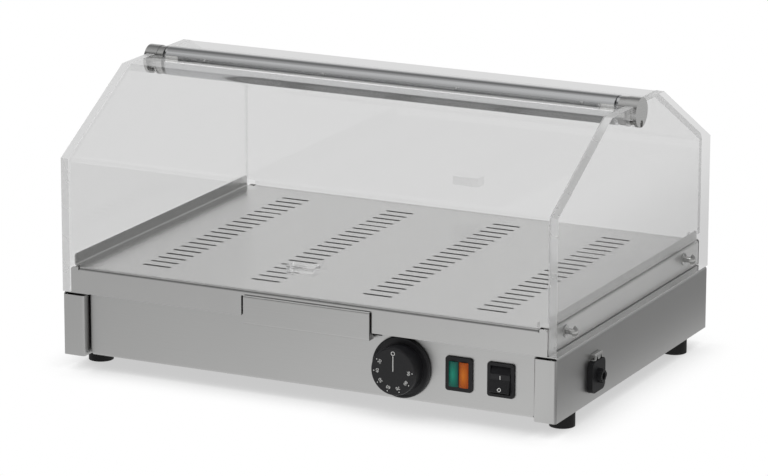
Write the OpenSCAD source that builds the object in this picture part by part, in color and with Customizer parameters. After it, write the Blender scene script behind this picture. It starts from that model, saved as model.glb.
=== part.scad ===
// Countertop heated display case: a folded stainless base with a warmed, slotted deck and a
// water drawer, under a clear hood whose front and rear flaps swing on one hinge tube.
// Millimetres. X runs to the right, Y to the rear, Z up; the origin is on the worktop,
// midway between the four feet.

/* [Case] */
// Width over the side panels
case_width = 510; // [490:5:600]
// Depth over the corner posts
case_depth = 360; // [350:5:420]
// Height of the folded base, without its feet
base_height = 61.5; // [60:0.5:80]
// Height of the rubber feet
foot_height = 15; // [12:1:25]
// Diameter of the rubber feet
foot_diameter = 24; // [20:1:26]
// Distance from a side panel's outer face to a foot's centre
foot_inset_x = 14; // [14:1:30]
// Distance from the front or rear face to a foot's centre
foot_inset_y = 46.5; // [40:0.5:70]

/* [Sheet metal] */
// Thickness of the folded sheets
sheet = 1; // [0.8:0.1:1.2]
// Inside radius of the folds
fold_radius = 1.5; // [1:0.25:2]
// Width of the corner posts
post_width = 22.5; // [20:0.5:28]
// How far the posts' tops stand below the side panels' rims
post_drop = 2.5; // [1:0.5:4]
// How far the front and rear panels stand back from the posts
panel_recess = 9; // [6:0.5:11]
// Seam between a post and the panel beside it
panel_seam = 1.2; // [0.8:0.1:1.5]
// Width of the ledge folded in along each side panel's rim
ledge_width = 27; // [24:1:32]

/* [Deck] */
// Height of the deck's surface above the side panels' rims
deck_rise = 25.5; // [25:0.5:30]
// Height of the deck's upturned sides above its surface
wall_rise = 10.5; // [8:0.5:12]
// Width of the cuts that relieve the deck's corners
relief_width = 9; // [8.5:0.5:12]
// Number of slots in a column
slot_rows = 20; // [6:1:20]
// Distance between slots in a column
slot_pitch = 15; // [12:0.5:15]
// Distance between the four columns of slots
column_pitch = 116; // [80:1:116]
// Length of a slot
slot_length = 30; // [20:1:40]
// Width of a slot
slot_width = 4; // [2:0.2:5]

/* [Hood] */
// Height of the hood's front fold above the base's underside
hood_fold_height = 191; // [180:1:200]
// Height of the hood's flat top above the base's underside
hood_height = 258.5; // [250:0.5:290]
// Depth of the hood's flat top
hood_top_depth = 122; // [110:1:140]
// Thickness of the clear side panels
side_glass = 8; // [6:0.5:8]
// Thickness of the clear flaps
flap_glass = 6; // [5:0.5:6]
// Inside radius of the flaps' heat-formed bends
flap_bend = 4; // [3:0.5:8]
// Gap between a flap and a side panel
flap_side_gap = 0.8; // [0.5:0.1:1.2]
// Largest opening angle of each flap
flap_angle = 75; // [60:1:75]

/* [Hinge tube] */
// Diameter of the split tube and its end caps
tube_diameter = 28.4; // [27:0.2:30]
// How far the tube's centre lies below the hood's flat top
tube_drop = 7.5; // [7:0.1:8]
// Diameter of the hinge pins
pin_diameter = 5; // [4:0.5:5]
// Length of the blocks that hold the hinge pins between the rails
pin_block = 14; // [10:1:20]
// Thickness of the plates that carry the rear flap
hinge_plate = 3; // [2:0.5:3]
// Thickness of an end cap outside the clear side panel
cap_disc = 3.2; // [3:0.1:5]
// Distance from the tube's middle to the inner rail bolts
bolt_inner = 70; // [60:1:90]
// Distance from a rail's end to the outer rail bolts
bolt_inset = 37; // [30:1:60]
// Diameter of the rail bolts
bolt_diameter = 4; // [3:0.5:4]

/* [Handles] */
// Width of a handle
handle_width = 28; // [24:1:40]
// How far a handle stands out from its flap
handle_reach = 15; // [12:1:18]
// Height of a handle
handle_height = 8.5; // [8:0.5:12]
// Height of a handle's middle above the deck
handle_rise = 29; // [20:1:60]
// How far each handle is bonded towards its user's right hand
handle_shift = 4.2; // [0:0.2:8]

/* [Water drawer] */
// Width of the drawer's front
drawer_front_width = 130; // [128:1:136]
// Height of the drawer's front
drawer_front_height = 27; // [26.5:0.5:28]
// How far the drawer's front stands out from the apron
drawer_proud = 3; // [3:0.5:5]
// Offset of the drawer from the case's middle
drawer_x = 4.2; // [-4:0.2:6]
// Length of the drawer's tray
drawer_length = 190; // [150:5:195]
// Width of the drawer's tray
drawer_width = 124; // [100:1:125]
// Length of the drawer's travel
drawer_travel = 150; // [100:5:150]

/* [Controls] */
// Distance of the thermostat knob from the case's right-hand end
knob_inset = 157.6; // [155:0.2:159]
// Diameter of the knob's skirt
knob_skirt = 58; // [52:1:58]
// Diameter of the knob's grip
knob_grip = 45; // [40:1:47]
// Depth of the knob
knob_depth = 19.5; // [17:0.5:22]
// Diameter of the thermostat's spindle
spindle_diameter = 6; // [5:0.5:6]
// Turn of the knob from off to its last mark
knob_turn = 270; // [180:10:300]
// Distance of the indicator lamp from the case's right-hand end
lamp_inset = 99.8; // [97:0.2:105]
// Distance of the power switch from the case's right-hand end
switch_inset = 58; // [55:0.5:63]
// Width of the lamp's and the switch's bezels
bezel_width = 26.5; // [26:0.5:28]
// Height of the lamp's and the switch's bezels
bezel_height = 32; // [31.5:0.5:36]
// Swing of the rocker from one side to the other
rocker_swing = 18; // [12:1:18]

/* [Cable inlet] */
// Distance of the cable inlet in front of the case's middle
inlet_y = 94.5; // [80:0.5:100]
// Height of the cable inlet above the base's underside
inlet_rise = 24.5; // [22:0.5:28]
// Width of the inlet's flange
inlet_width = 29.5; // [26:0.5:34]
// Diameter of the hole for the cable
cable_hole = 7; // [6:0.5:8]

/* [Fits] */
// Radial clearance of a pin that turns in a hole
running_fit = 0.05; // [0.03:0.01:0.09]
// Clearance between pieces that move past each other
moving_gap = 0.3; // [0.3:0.1:0.4]
// Radial clearance of a screw in its hole
screw_fit = 0.3; // [0.2:0.1:0.4]

/* [Hidden] */
$fn = 48;
through = 1;                                   // how far a cutter runs past the wall it cuts
bend_step = 5;                                 // largest angle between the facets of a heat-formed bend
xh = case_width / 2;
yh = case_depth / 2;
z_base = foot_height;
z_rim = z_base + base_height;
z_deck = z_rim + deck_rise;
z_wall = z_deck + wall_rise;
z_fold = z_base + hood_fold_height;
z_top = z_base + hood_height;
fold = fold_radius + sheet;                    // outside radius of a fold

// base
plate_flange = 12;
post_return = 22;
panel_x = xh - post_width - panel_seam;
panel_y = yh - panel_recess;
panel_flange = post_return - panel_recess;
z_panel = z_base;                              // the panels' flanges lie level with the bottom plate
z_panel_top = z_rim - 1.3;
foot_screw = 4;
screw_head = 8;
screw_head_height = 2.5;
screw_nut = 7;
screw_nut_height = 3.2;
foot_recess = 9;
foot_floor = 4;

// deck
wall_gap = 1.2;                                // between the upturned sides and the clear side panels
deck_x = xh - side_glass - wall_gap;
wall_radius = 1.5;
wall_y = yh - 7;                               // the upturned sides stop behind the flaps
wall_corner = 3;
relief_slit = 1;                               // between the aprons' folds and their free ends
apron_radius = 2;
deck_lap = 4;                                  // overlap of the deck's flat, its sides and its aprons
z_apron = z_rim + moving_gap;
flat_x = deck_x - relief_width;

// brackets that tie the clear side panels to the base
bracket = 1.5;
bracket_x = deck_x;
bracket_radius = 1;
bracket_flange = 6;
bracket_y = yh - 2.5;
glass_screw = 5;
glass_screw_y = yh - 40;
z_glass_screw = z_rim + 15;
dome_diameter = 12;
dome_height = 3.5;
spacer_diameter = 11;
nut_height = 4;
nut_width = 8;

// hinge tube
tube_r = tube_diameter / 2;
z_tube = z_top - tube_drop;
z_pin = z_top - flap_glass / 2;
cap_face = 1.4;                                // inner face of a cap, against the side panel
cap_boss = 6.8;                                // boss that holds the hinge pin
boss_inset = 0.5;
cap_x = xh - side_glass - cap_face - cap_boss;
rail_x = cap_x - hinge_plate - 2 * moving_gap;
flap_x = xh - side_glass - flap_side_gap;
bolt_outer = rail_x - bolt_inset;
leg_y = tube_r + 1.8;                          // where the flaps' top legs start, clear of the tube
slit_y = 12;
pin_seat = 6.2;
hub_r = 9;
arm_drop = 6;
tab = 2;
tab_x = 8;
tab_y = 36;
z_cap_screw = z_tube - 10.7;
cap_screw = 3;
cap_screw_head = 6;
cap_recess = 2.4;
cap_head_sink = 1.2;                           // how far a cap screw's head lies below the cap's face
cap_slot = 1;
bolt_head = 7;
bolt_recess = 3.2;
hex_key = 3.4;
hex_key_depth = 2.2;

// flaps
z_flap = z_deck + 0.6;
flap_notch_x = 10.5;
flap_notch_rise = 6;                           // a notch's top above the deck
top_y = hood_top_depth / 2;
scoop = 1.2;
scoop_radius = 29.2;

// drawer
drawer_left = drawer_x - drawer_front_width / 2;
drawer_right = drawer_x + drawer_front_width / 2;
front_sheet = 1.2;
front_radius = 0.5;
front_return = 5;                              // how far the front's ends reach in behind the apron
front_cover = 1;                               // how far the front stands above its opening
opening_left = 3.5;                            // the opening's room on each side of the front
opening_right = 1.2;
z_front = z_rim - 6.5;
z_tray = z_rim - 3;
tray_wall = 0.8;
tray_height = 21;
tray_corner = 4;
tray_y = yh + drawer_proud - front_sheet;      // the tray's front end, against the drawer's front
runner_lip = 6;

// heat shield and heater
shield = 0.8;
shield_x = xh - 18;
shield_y = yh - 25;
well_side = 14;                                // room left for the drawer's runners
well_y = 25;
heater_tube = 6.5;
z_heater = z_rim + 14.5;
heater_x = xh - 45;
heater_front = 105;
heater_back = yh - 40;
heater_step = 60;
heater_bend = 25;
terminal_length = 18;
terminal_pin = 2.5;
terminal_pin_length = 10;
clip = 2;
clip_width = 14;
clip_foot = 8;
clip_head = 6;
bulb = 6;
bulb_x = xh - 171;
bulb_y = 60;
bulb_length = 56;
capillary = 1.6;
capillary_bend = 5;
capillary_loop = 30;                           // how far the loop stands back from the bulb
capillary_lead = 12;                           // straight length into the bulb's end
capillary_side = 14;                           // right of the knob, clear of the drawer's well
capillary_x = xh - knob_inset + capillary_side;
capillary_y = yh - 30;
z_bulb = z_rim + 17.5;

// controls, measured outwards from the front panel's face
z_knob = z_base + base_height / 2 + 0.75;
z_switch = z_knob + 0.5;
knob_x = xh - knob_inset;
lamp_x = xh - lamp_inset;
switch_x = xh - switch_inset;
knob_gap = 0.5;
skirt_height = 4;
knob_shell = 4;
hub_diameter = 14;
spindle_front = 15;
spindle_back = 11;
spindle_flat = 1.2;
thermostat = 36;
thermostat_depth = 32;
thermostat_cap = 28;
thermostat_cap_height = 5;
thermostat_tab = 6;
thermostat_tab_pitch = 9;
thermostat_tab_y = 12;
bezel = 2.4;
bezel_corner = 2.5;
body_margin = 4.4;                             // how much smaller a body is than its bezel
body_depth = 22;
cutout_fit = 0.2;
lens_width = 9.2;
lens_height = 23.8;
lens_offset = 5.2;
lens_depth = 3;
lens_front = 3.9;
lens_curve = 9;
rocker_width = 19.4;
rocker_gap = 0.4;
rocker_half = 12.2;
rocker_well = 13.2;
rocker_nose = 5;
rocker_face = 4;
rocker_end = 2.6;
rocker_back = 4;
rocker_pin = 3;
rocker_pivot = 1;

// cable inlet
z_inlet = z_base + inlet_rise;
inlet_height = 30;
inlet_corner = 6;
inlet_flange = 5;
inlet_boss = 14;
boss_lobe = 5;
boss_length = 5;
inlet_stem = 12;
stem_length = 8;
clamp_width = 17;
clamp_height = 6.5;
clamp_proud = 5;
clamp_notch = 3;
block_length = 40;
block_width = 22;
block_height = 16;
block_x = xh - 45;
block_pitch = 12;
block_wire = 4;
block_screw = 5;
z_block = z_base + sheet;
z_wire = z_block + 7;

// ---------------------------------------------------------------- helpers

// An outline drawn in Y and Z, run along X
module along_x(x0, x1) translate([x0, 0, 0]) rotate([90, 0, 90]) linear_extrude(x1 - x0) children();

// An outline drawn in X and Z, run along Y
module along_y(y0, y1) translate([0, y1, 0]) rotate([90, 0, 0]) linear_extrude(y1 - y0) children();

// An outline drawn in X and Y, run along Z
module along_z(z0, z1) translate([0, 0, z0]) linear_extrude(z1 - z0) children();

module rod_x(d, x0, x1, y, z) translate([x0, y, z]) rotate([0, 90, 0]) cylinder(d = d, h = x1 - x0);
module rod_y(d, y0, y1, x, z) translate([x, y1, z]) rotate([90, 0, 0]) cylinder(d = d, h = y1 - y0);
module rod_z(d, z0, z1, x, y) translate([x, y, z0]) cylinder(d = d, h = z1 - z0);

module block(x0, x1, y0, y1, z0, z1) translate([x0, y0, z0]) cube([x1 - x0, y1 - y0, z1 - z0]);

module both_sides() {
    children();
    mirror([1, 0, 0]) children();
}

module front_and_rear() {
    children();
    mirror([0, 1, 0]) children();
}

// Children drawn in X and Y and built up along Z, turned so that they stand out of the front panel
module on_panel(x, z) translate([x, -panel_y, z]) rotate([90, 0, 0]) children();

function unit(v) = v / norm(v);
function left_of(v) = [-v.y, v.x];
function heading(p, i) = unit(p[i + 1] - p[i]);
function turn_at(p, i) = let (a = heading(p, i - 1), b = heading(p, i))
    atan2(a.x * b.y - a.y * b.x, a.x * b.x + a.y * b.y);
function radius_at(r, i) = is_list(r) ? r[i - 1] : r;
function face_radius(p, i, t, r) = radius_at(r, i) + (turn_at(p, i) > 0 ? t : 0);
function trim_at(p, i, t, r) = (i == 0 || i == len(p) - 1) ? 0
    : face_radius(p, i, t, r) * tan(abs(turn_at(p, i)) / 2);

// Section of a bent sheet of thickness t. The points are the corners of one face, and the
// sheet lies to their left; r is the inside radius of every bend, or a list of radii.
module bent_sheet(p, t, r) {
    for (i = [0 : len(p) - 2]) {
        d = heading(p, i);
        a = p[i] + d * trim_at(p, i, t, r);
        b = p[i + 1] - d * trim_at(p, i + 1, t, r);
        polygon([a, b, b + left_of(d) * t, a + left_of(d) * t]);
    }
    for (i = [1 : len(p) - 2]) {
        side = sign(turn_at(p, i));
        inner = radius_at(r, i);
        reach = 2 * (inner + t);
        start = p[i] - heading(p, i - 1) * trim_at(p, i, t, r);
        centre = start + left_of(heading(p, i - 1)) * side * face_radius(p, i, t, r);
        u0 = -side * left_of(heading(p, i - 1));
        u1 = -side * left_of(heading(p, i));
        intersection() {
            translate(centre) difference() {
                circle(inner + t);
                circle(inner);
            }
            polygon([centre, centre + reach * u0, centre + 1.5 * reach * unit(u0 + u1), centre + reach * u1]);
        }
    }
}

function turned(v, a) = [v.x * cos(a) - v.y * sin(a), v.x * sin(a) + v.y * cos(a)];

// The points of one face of a bend: depth 0 is the face that the path runs along
function bend_face(p, i, t, r, depth) = let (
    turn = turn_at(p, i),
    left = left_of(heading(p, i - 1)) * sign(turn),
    rf = face_radius(p, i, t, r),
    centre = p[i] - heading(p, i - 1) * trim_at(p, i, t, r) + left * rf,
    steps = ceil(abs(turn) / bend_step))
    [for (k = [0 : steps]) centre - turned(left, turn * k / steps) * (rf - sign(turn) * depth)];

function face_run(p, t, r, depth) = [for (i = [0 : len(p) - 1])
    each (i == 0 ? [p[0] + left_of(heading(p, 0)) * depth]
        : i == len(p) - 1 ? [p[i] + left_of(heading(p, i - 1)) * depth]
        : bend_face(p, i, t, r, depth))];

function reversed(v) = [for (i = [len(v) - 1 : -1 : 0]) v[i]];

// Section of a heat-formed sheet whose legs meet at any angle, as one outline
module formed_sheet(p, t, r) polygon(concat(face_run(p, t, r, 0), reversed(face_run(p, t, r, t))));

// A rectangle with rounded corners, centred on the origin
module rounded(w, h, r) {
    square([w - 2 * r, h], center = true);
    square([w, h - 2 * r], center = true);
    for (x = [-1, 1], y = [-1, 1]) translate([x * (w / 2 - r), y * (h / 2 - r)]) circle(r);
}

// A slot with round ends, centred on the origin
module slot(l, w) {
    square([l - w, w], center = true);
    for (x = [-1, 1]) translate([x * (l - w) / 2, 0]) circle(d = w);
}

// A disc whose upper edge is rounded
module rounded_disc(d, h, r) rotate_extrude() {
    square([d / 2 - r, h]);
    square([d / 2, h - r]);
    translate([d / 2 - r, h - r]) circle(r);
}

// A round-headed cap, rising along Z
module dome(d, h) {
    r = (d * d / 4 + h * h) / (2 * h);
    intersection() {
        translate([0, 0, h - r]) sphere(r);
        cylinder(d = d, h = h);
    }
}

module hex_nut(across, h, bore) difference() {
    cylinder(d = across / cos(30), h = h, $fn = 6);
    translate([0, 0, -through]) cylinder(d = bore, h = h + 2 * through);
}

function way(p, i) = unit(p[i + 1] - p[i]);
function bend_angle(p, i) = acos(way(p, i - 1) * way(p, i));
function bend_trim(p, i, r) = (i == 0 || i == len(p) - 1) ? 0 : r * tan(bend_angle(p, i) / 2);

// A round bar bent along a path of points in space, with bends of mean radius r
module bent_bar(p, d, r) {
    for (i = [0 : len(p) - 2]) {
        u = way(p, i);
        a = p[i] + u * bend_trim(p, i, r);
        b = p[i + 1] - u * bend_trim(p, i + 1, r);
        translate(a) rotate([0, acos(u.z), atan2(u.y, u.x)]) cylinder(d = d, h = norm(b - a));
    }
    for (i = [1 : len(p) - 2]) {
        u = way(p, i - 1);
        v = way(p, i);
        n = unit(v - u * (u * v));
        w = cross(-n, u);
        c = p[i] - u * bend_trim(p, i, r) + n * r;
        multmatrix([[-n.x, u.x, w.x, c.x], [-n.y, u.y, w.y, c.y], [-n.z, u.z, w.z, c.z], [0, 0, 0, 1]])
            rotate_extrude(angle = bend_angle(p, i)) translate([r, 0]) circle(d = d);
    }
}

// ---------------------------------------------------------------- base

module foot_places() front_and_rear() both_sides()
    translate([xh - foot_inset_x, yh - foot_inset_y, 0]) children();

module bottom_plate() color("silver") difference() {
    union() {
        along_y(-yh + post_return + 2, yh - post_return - 2) bent_sheet([
            [-xh + sheet, z_base + plate_flange], [-xh + sheet, z_base],
            [xh - sheet, z_base], [xh - sheet, z_base + plate_flange]], sheet, fold_radius);
        block(-panel_x + 1, panel_x - 1, panel_flange - panel_y, panel_y - panel_flange, z_base, z_base + sheet);
    }
    foot_places() cylinder(d = foot_screw + 2 * screw_fit, h = z_base + 2 * sheet);
}

// The right-hand side panel: a wall, a ledge along its rim and a closed post at each end
module side_panel() {
    along_y(-yh + fold, yh - fold)
        bent_sheet([[xh, z_base], [xh, z_rim], [xh - ledge_width, z_rim]], sheet, fold_radius);
    front_and_rear() along_z(z_base, z_rim - post_drop) bent_sheet([
        [xh - post_width, -yh + post_return], [xh - post_width, -yh],
        [xh, -yh], [xh, -yh + 2 * fold]], sheet, fold_radius);
}

module side_panel_left() color("gray") mirror([1, 0, 0]) side_panel();

module side_panel_right() color("gray") difference() {
    side_panel();
    rod_x(inlet_stem + 2 * screw_fit, xh - sheet - through, xh + through, -inlet_y, z_inlet);
}

// The front panel, folded back at its ends and along its foot
module panel() {
    along_x(-panel_x + fold, panel_x - fold) bent_sheet([
        [-panel_y, z_panel_top], [-panel_y, z_panel],
        [-panel_y + panel_flange, z_panel]], sheet, fold_radius);
    both_sides() along_z(z_panel + fold, z_panel_top) bent_sheet([
        [panel_x - 2 * fold, -panel_y], [panel_x, -panel_y],
        [panel_x, -panel_y + panel_flange]], sheet, fold_radius);
}

module rear_panel() color("lightgray") mirror([0, 1, 0]) panel();

module front_panel() color("lightgray") difference() {
    panel();
    block(drawer_left - 6, drawer_right + 7.7, -panel_y - through, -panel_y + sheet + through,
        z_rim - 3.7, z_rim);
    rod_y(spindle_diameter + 2, -panel_y - through, -panel_y + sheet + through, knob_x, z_knob);
    for (x = [lamp_x, switch_x]) on_panel(x, z_switch) translate([0, 0, -sheet - through])
        linear_extrude(sheet + 2 * through) square([
            bezel_width - body_margin + 2 * cutout_fit, bezel_height - body_margin + 2 * cutout_fit], center = true);
}

module foot() difference() {
    cylinder(d = foot_diameter, h = z_base);
    translate([0, 0, -through]) cylinder(d = foot_screw + 2 * screw_fit, h = z_base + 2 * through);
    translate([0, 0, -through]) cylinder(d = foot_recess, h = z_base - foot_floor + through);
}

module foot_at(x, y) color("black") translate([x * (xh - foot_inset_x), y * (yh - foot_inset_y), 0]) foot();
module foot_front_left() foot_at(-1, -1);
module foot_front_right() foot_at(1, -1);
module foot_rear_left() foot_at(-1, 1);
module foot_rear_right() foot_at(1, 1);

module foot_screws() color("silver") foot_places() {
    translate([0, 0, z_base - foot_floor - screw_head_height]) cylinder(d = screw_head, h = screw_head_height);
    translate([0, 0, z_base - foot_floor])
        cylinder(d = foot_screw, h = foot_floor + sheet + screw_nut_height + 1.8);
    translate([0, 0, z_base + sheet]) hex_nut(screw_nut, screw_nut_height, foot_screw);
}

// ---------------------------------------------------------------- deck

module deck() color("gainsboro") difference() {
    union() {
        along_x(-flat_x, flat_x) bent_sheet([
            [yh, z_apron], [yh, z_deck], [-yh, z_deck], [-yh, z_apron]], sheet, apron_radius);
        both_sides() deck_side();
        front_and_rear() both_sides() along_y(-yh, -yh + sheet) apron_end();
    }
    deck_slots();
    block(drawer_left - opening_left, drawer_right + opening_right, -yh - through, -yh + sheet + through,
        z_apron - through, z_front + drawer_front_height - front_cover);
}

// The right side of the deck, turned up behind the flaps, with its upper corners rounded
module deck_side() intersection() {
    plate = wall_rise + sheet + wall_corner + through;
    along_y(-wall_y, wall_y) bent_sheet([
        [deck_x - sheet, z_wall], [deck_x - sheet, z_deck], [flat_x - deck_lap, z_deck]],
        sheet, wall_radius);
    along_x(flat_x - deck_lap - through, deck_x + through)
        translate([0, z_wall - plate / 2]) rounded(2 * wall_y, plate, wall_corner);
}

// An apron's end beside its fold, free of the fold and rounded at the top
module apron_end() {
    w = deck_x - flat_x - relief_slit;
    h = z_deck - z_apron;
    translate([flat_x - deck_lap, z_apron])
        square([deck_x - flat_x + deck_lap, h - apron_radius - sheet]);
    translate([flat_x + relief_slit, z_apron]) {
        square([w - wall_corner, h]);
        square([w, h - wall_corner]);
        translate([w - wall_corner, h - wall_corner]) circle(wall_corner);
    }
}

module deck_slots() along_z(z_deck - sheet - through, z_deck + through)
    for (column = [-1.5 : 1.5], row = [0 : slot_rows - 1])
        translate([column * column_pitch, (row - (slot_rows - 1) / 2) * slot_pitch])
            slot(slot_length, slot_width);

module glass_bracket() difference() {
    along_y(-bracket_y, bracket_y) bent_sheet([
        [bracket_x - bracket_flange, z_rim], [bracket_x, z_rim], [bracket_x, z_deck - sheet],
        [bracket_x - bracket_flange + 0.5, z_deck - sheet]], bracket, bracket_radius);
    front_and_rear() rod_x(glass_screw + 2 * screw_fit, bracket_x - bracket - through, bracket_x + through,
        glass_screw_y, z_glass_screw);
}

module glass_bracket_right() color("darkgray") glass_bracket();
module glass_bracket_left() color("darkgray") mirror([1, 0, 0]) glass_bracket();

// ---------------------------------------------------------------- heating

module heat_shield() color("lightgray") difference() {
    block(-shield_x, shield_x, -shield_y, shield_y, z_rim, z_rim + shield);
    block(drawer_left - well_side, drawer_right + well_side, -shield_y - through, well_y,
        z_rim - through, z_rim + shield + through);
    rod_z(bulb, z_rim - through, z_rim + shield + through, capillary_x, -capillary_y);
}

module heating_element() color("dimgray") bent_bar([
    [heater_x, -heater_front, z_heater], [heater_x, heater_back, z_heater],
    [-heater_x, heater_back, z_heater], [-heater_x, -heater_front - heater_bend, z_heater],
    [-heater_x + heater_step, -heater_front - heater_bend, z_heater],
    [-heater_x + heater_step, heater_back - heater_step, z_heater],
    [heater_x - heater_step, heater_back - heater_step, z_heater],
    [heater_x - heater_step, -heater_front, z_heater]], heater_tube, heater_bend);

module heater_terminals() color("white") for (x = [heater_x, heater_x - heater_step]) {
    rod_y(heater_tube + 2, -heater_front - terminal_length, -heater_front, x, z_heater);
    rod_y(terminal_pin, -heater_front - terminal_length - terminal_pin_length,
        -heater_front - terminal_length, x, z_heater);
}

// A stand with a bore for a bar that runs along Y
module heater_clip() difference() {
    union() {
        block(-clip_width / 2, clip_width / 2, -clip / 2, clip / 2, z_rim + shield, z_heater + clip_head);
        block(-clip_width / 2, clip_width / 2, -clip / 2, clip_foot, z_rim + shield, z_rim + shield + clip);
    }
    rod_y(heater_tube + 2 * running_fit, -clip, clip, 0, z_heater);
}

module heater_clips() color("silver") {
    for (x = [heater_x, heater_x - heater_step, -heater_x, -heater_x + heater_step])
        translate([x, 0, 0]) heater_clip();
    for (y = [heater_back, heater_back - heater_step]) translate([0, y, 0]) rotate(90) heater_clip();
}

module thermostat_bulb() color("peru") {
    rod_x(bulb, bulb_x, bulb_x + bulb_length, -bulb_y, z_bulb);
    bent_bar([[capillary_x, -capillary_y, z_knob + thermostat / 2], [capillary_x, -capillary_y, z_bulb],
        [capillary_x, -bulb_y - capillary_loop, z_bulb],
        [bulb_x - capillary_lead, -bulb_y - capillary_loop, z_bulb],
        [bulb_x - capillary_lead, -bulb_y, z_bulb], [bulb_x + 2, -bulb_y, z_bulb]], capillary, capillary_bend);
}

// ---------------------------------------------------------------- controls

module thermostat_body() color("dimgray") on_panel(knob_x, z_knob) difference() {
    union() {
        translate([0, 0, -sheet - thermostat_depth]) linear_extrude(thermostat_depth)
            rounded(thermostat, thermostat, 3);
        translate([0, 0, -sheet - thermostat_depth - thermostat_cap_height])
            cylinder(d = thermostat_cap, h = thermostat_cap_height);
        for (x = [-1, 0, 1])
            translate([x * thermostat_tab_pitch, -thermostat_tab_y, -sheet - thermostat_depth - 1.5 * thermostat_tab])
                linear_extrude(1.5 * thermostat_tab) square([thermostat_tab, sheet], center = true);
    }
    translate([0, 0, -sheet - spindle_back])
        cylinder(d = spindle_diameter + 2 * running_fit, h = spindle_back + through);
}

// The spindle's section beyond the panel: round with one flat
module spindle_outline(grow) difference() {
    circle(d = spindle_diameter + 2 * grow);
    translate([-spindle_diameter, spindle_diameter / 2 - spindle_flat + grow]) square(2 * spindle_diameter);
}

module thermostat_spindle() color("silver") on_panel(knob_x, z_knob) {
    translate([0, 0, -sheet - spindle_back + moving_gap])
        cylinder(d = spindle_diameter, h = spindle_back + sheet + 1);
    linear_extrude(spindle_front) spindle_outline(0);
}

module thermostat_knob() color("black") on_panel(knob_x, z_knob) difference() {
    translate([0, 0, knob_gap]) {
        rounded_disc(knob_skirt, skirt_height, 1);
        rounded_disc(knob_grip, knob_depth, 1.5);
    }
    translate([0, 0, knob_gap + skirt_height - 0.8]) difference() {
        cylinder(d = knob_skirt - 4, h = 2);
        translate([0, 0, -through]) cylinder(d = knob_grip, h = 2 + 2 * through);
    }
    difference() {
        cylinder(d = knob_grip - 2 * knob_shell, h = knob_depth - knob_shell);
        translate([0, 0, -through]) cylinder(d = hub_diameter, h = knob_depth + through);
    }
    linear_extrude(spindle_front + moving_gap) spindle_outline(running_fit);
    cylinder(d = spindle_diameter + 2, h = 2.2);
}

module bezel_and_body(w, h) {
    linear_extrude(bezel) rounded(w, h, bezel_corner);
    translate([0, 0, -body_depth]) linear_extrude(body_depth)
        square([w - body_margin, h - body_margin], center = true);
}

module lamp_bezel() color("black") on_panel(lamp_x, z_switch) difference() {
    bezel_and_body(bezel_width, bezel_height);
    for (x = [-lens_offset, lens_offset]) translate([x, 0, -lens_depth])
        linear_extrude(bezel + lens_depth + through)
        square([lens_width, lens_height], center = true);
}

module lamp_lens(x) along_z(z_switch - lens_height / 2, z_switch + lens_height / 2)
    translate([lamp_x + x, -panel_y]) intersection() {
        translate([-lens_width / 2, -lens_front]) square([lens_width, lens_front + lens_depth]);
        translate([0, lens_curve - lens_front]) circle(lens_curve);
    }

module lamp_lens_green() color("green") lamp_lens(-lens_offset);
module lamp_lens_orange() color("orange") lamp_lens(lens_offset);

module switch_housing() color("black") on_panel(switch_x, z_switch) {
    difference() {
        bezel_and_body(bezel_width, bezel_height);
        translate([0, 0, -body_depth / 2]) linear_extrude(body_depth)
            square([rocker_width + 2 * rocker_gap, 2 * rocker_well], center = true);
    }
    translate([-rocker_width / 2 - 1, 0, -rocker_pivot]) rotate([0, 90, 0])
        cylinder(d = rocker_pin, h = rocker_width + 2);
}

module switch_rocker() color("black") along_x(switch_x - rocker_width / 2, switch_x + rocker_width / 2)
    translate([-panel_y + rocker_pivot, z_switch]) rotate(-rocker_swing / 2) difference() {
        polygon([[-rocker_face, -rocker_half], [-rocker_face - 1.2, 0.6 - rocker_half], [-rocker_face - 0.4, 0],
            [-rocker_face - 1.2, rocker_nose], [-rocker_end, rocker_half],
            [rocker_back, rocker_half - 1.5], [rocker_back, 1.5 - rocker_half]]);
        circle(d = rocker_pin + 2 * running_fit);
    }

// ---------------------------------------------------------------- water drawer

module water_drawer_tray() color("silver") translate([drawer_x, drawer_length / 2 - tray_y, z_tray])
    difference() {
        linear_extrude(tray_height) rounded(drawer_width, drawer_length, tray_corner);
        translate([0, 0, tray_wall]) linear_extrude(tray_height)
            rounded(drawer_width - 2 * tray_wall, drawer_length - 2 * tray_wall, tray_corner - tray_wall);
    }

module water_drawer_front() color("lightgray") {
    along_x(drawer_left, drawer_right) bent_sheet([
        [-yh - moving_gap, z_front + drawer_front_height], [-yh - drawer_proud, z_front + drawer_front_height],
        [-yh - drawer_proud, z_front], [-panel_y - 2, z_front]], front_sheet, front_radius);
    for (x = [drawer_left, drawer_right - front_sheet]) {
        block(x, x + front_sheet, -yh - drawer_proud + front_sheet / 2, -yh - moving_gap,
            z_front + front_sheet / 2, z_front + drawer_front_height - front_sheet / 2);
        block(x, x + front_sheet, -yh - drawer_proud + front_sheet / 2, -yh + front_return,
            z_front + front_sheet / 2, z_front + drawer_front_height - front_cover - moving_gap);
    }
}

// Rails on both sides of the drawer's well, standing on the heat shield
module drawer_runners() color("silver") translate([drawer_x, 0, 0]) both_sides()
    along_y(-shield_y, well_y) bent_sheet([
        [drawer_width / 2 - runner_lip, z_tray - moving_gap - sheet],
        [drawer_width / 2 + 2 * moving_gap + sheet, z_tray - moving_gap - sheet],
        [drawer_width / 2 + 2 * moving_gap + sheet, z_rim + shield],
        [drawer_front_width / 2 + well_side + 12, z_rim + shield]], sheet, 0.5);

// ---------------------------------------------------------------- cable inlet

// A round outline with four lobes that fit inside diameter d
module lobed(d, lobe) {
    circle(d = d - lobe / 2);
    for (a = [0 : 90 : 270]) rotate(a) translate([(d - lobe) / 2, 0]) circle(d = lobe);
}

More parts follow.
